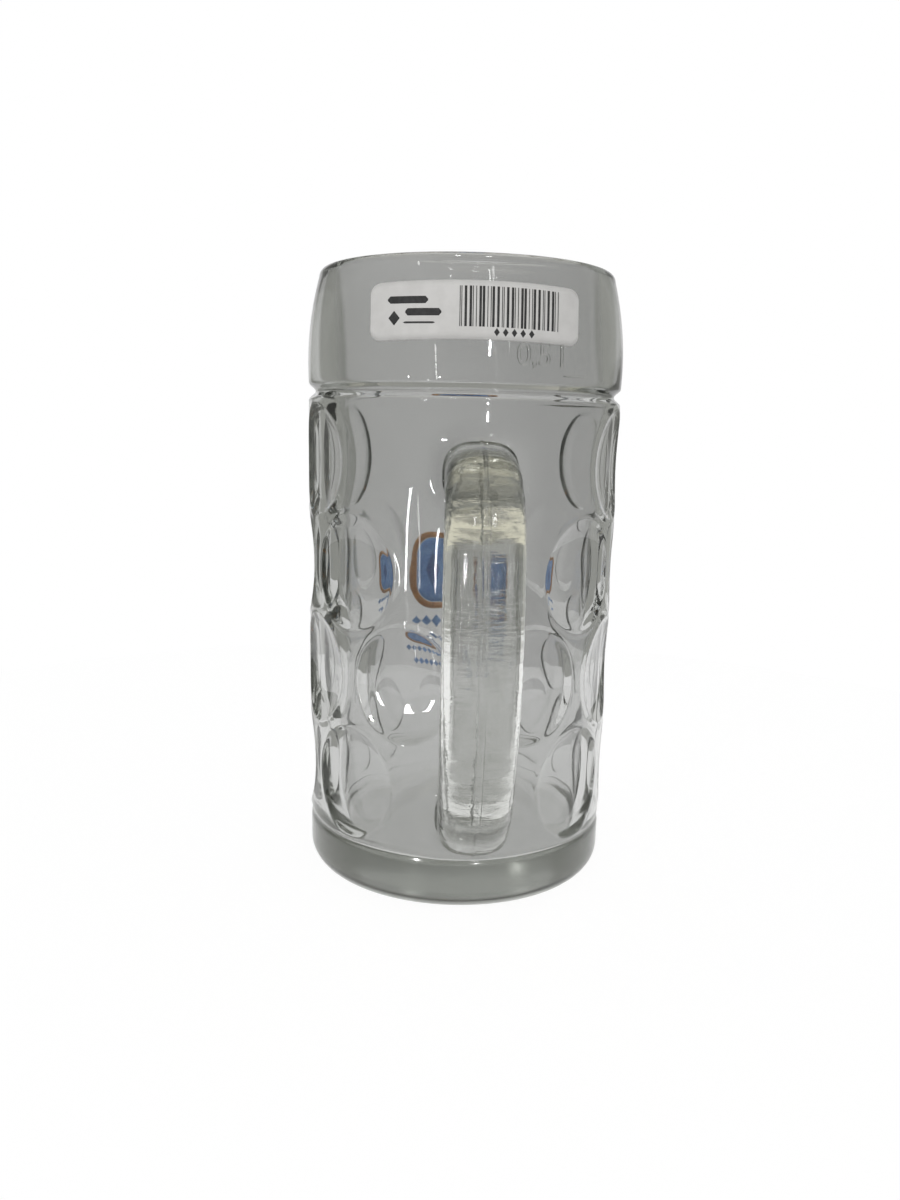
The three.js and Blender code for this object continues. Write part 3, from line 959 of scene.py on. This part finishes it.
def surround_colour(tree):
    """What the camera and the glass see round the mug: a white panel behind it, dimmer in the glass, and a
    grey room that is paler overhead."""
    place = tree.nodes.new("ShaderNodeTexCoord")
    direction = tree.nodes.new("ShaderNodeSeparateXYZ")
    tree.links.new(place.outputs["Generated"], direction.inputs["Vector"])
    forward = arithmetic(tree, "MAXIMUM", direction.outputs["Y"], LEAST_FORWARD)
    across = arithmetic(tree, "DIVIDE", direction.outputs["X"], forward)
    upward = arithmetic(tree, "DIVIDE", direction.outputs["Z"], forward)

    path = tree.nodes.new("ShaderNodeLightPath")
    dimmed = ranged(tree, across, WALL_FADE, WALL_IN_GLASS)
    panel = mixed(tree, path.outputs["Is Camera Ray"], dimmed, grey(WALL_WHITE))
    room = ramped(tree, direction.outputs["Z"], OVERHEAD_RISE, SIDE_GREY, OVERHEAD_GREY)

    aside = arithmetic(tree, "ABSOLUTE", arithmetic(tree, "SUBTRACT", across, BACKDROP_SIDE), 0.0)
    above = arithmetic(tree, "ADD", upward, BACKDROP_TOP)
    off_panel = ranged(tree, arithmetic(tree, "MAXIMUM", aside, above), BACKDROP_EDGES, (0.0, 1.0))
    return mixed(tree, off_panel, panel, room)


def world_light():
    """The surround that is seen, and an even grey light from all sides."""
    world = bpy.data.worlds.new("surround")
    bpy.context.scene.world = world
    world.use_nodes = True
    tree = world.node_tree
    tree.nodes.clear()
    output = tree.nodes.new("ShaderNodeOutputWorld")
    seen = tree.nodes.new("ShaderNodeBackground")
    lit = tree.nodes.new("ShaderNodeBackground")
    lit.inputs["Color"].default_value = grey(ROOM_LIGHT)
    mix = tree.nodes.new("ShaderNodeMixShader")
    tree.links.new(surround_colour(tree), seen.inputs["Color"])
    tree.links.new(seen_share(tree), mix.inputs["Fac"])
    tree.links.new(lit.outputs["Background"], mix.inputs[1])
    tree.links.new(seen.outputs["Background"], mix.inputs[2])
    tree.links.new(mix.outputs["Shader"], output.inputs["Surface"])


def lamp(azimuth, elevation, width, height, power):
    """A soft lamp aimed at the middle of the mug. Azimuth 0 is the handle's side."""
    name = f"lamp_{azimuth}"
    light = bpy.data.lights.new(name, "AREA")
    light.shape = "RECTANGLE"
    light.size = width
    light.size_y = height
    light.energy = power
    place = bpy.data.objects.new(name, light)
    bpy.context.collection.objects.link(place)
    turn = math.radians(azimuth)
    tilt = math.radians(elevation)
    away = Vector((math.sin(turn) * math.cos(tilt), -math.cos(turn) * math.cos(tilt), math.sin(tilt)))
    target = Vector((0, 0, HEIGHT * MM / 2))
    place.location = target + LAMP_DISTANCE * away
    place.rotation_euler = away.to_track_quat("Z", "Y").to_euler()


def camera():
    """The photograph's view."""
    data = bpy.data.cameras.new("camera")
    data.sensor_fit = "VERTICAL"
    data.sensor_height = CAMERA_SENSOR
    data.lens = CAMERA_LENS
    data.clip_start = CAMERA_NEAR
    place = bpy.data.objects.new("camera", data)
    bpy.context.collection.objects.link(place)
    turn = Matrix.Rotation(CAMERA_TURN, 4, "Z")
    tilt = Matrix.Rotation(math.pi / 2 - CAMERA_PITCH, 4, "X")
    roll = Matrix.Rotation(CAMERA_ROLL, 4, "Z")
    place.matrix_world = Matrix.Translation(CAMERA_PLACE) @ turn @ tilt @ roll
    bpy.context.scene.camera = place


def main():
    scene = bpy.context.scene
    scene.view_settings.view_transform = "Standard"
    scene.cycles.max_bounces = LIGHT_BOUNCES
    scene.cycles.transmission_bounces = LIGHT_BOUNCES
    scene.cycles.glossy_bounces = GLOSSY_BOUNCES

    body_glass = glass_material(
        "body_glass", BODY_TINT, GLASS_SHADOW, waviness=0.06, smudge=0.05, frost=FOOT_FROST)
    handle_glass = glass_material(
        "handle_glass", HANDLE_TINT, GLASS_SHADOW, waviness=0.4, smudge=0.05, stretch=HANDLE_STRETCH)
    mark_glass = glass_material("mark_glass", MARK_TINT, MARK_SHADOW, waviness=0.05, smudge=0.05)
    paper = opaque_material(
        "label_paper", (0.8, 0.79, 0.77), (0.86, 0.85, 0.83), scale=300, roughness=0.75, grain=0.3)
    ink = opaque_material(
        "label_ink", (0.02, 0.02, 0.022), (0.04, 0.04, 0.042), scale=900, roughness=0.6, grain=0.2)
    blue = opaque_material(
        "blue_enamel", (0.13, 0.27, 0.6), (0.2, 0.37, 0.7), scale=400, roughness=0.35, grain=0.1)
    deep = opaque_material(
        "deep_enamel", (0.04, 0.1, 0.3), (0.07, 0.15, 0.38), scale=400, roughness=0.35, grain=0.1)
    gold = opaque_material(
        "gold_enamel", (0.4, 0.17, 0.06), (0.55, 0.26, 0.09), scale=500, roughness=0.35, grain=0.1)
    pale = opaque_material(
        "pale_enamel", (0.7, 0.68, 0.6), (0.8, 0.78, 0.7), scale=500, roughness=0.4, grain=0.1)

    body_piece(body_glass)
    handle_piece(handle_glass)
    label_pieces(paper, ink)
    print_pieces(blue, gold, pale, deep)
    mark_pieces(mark_glass)

    stage()
    world_light()
    for setting in LAMPS:
        lamp(*setting)
    camera()


main()
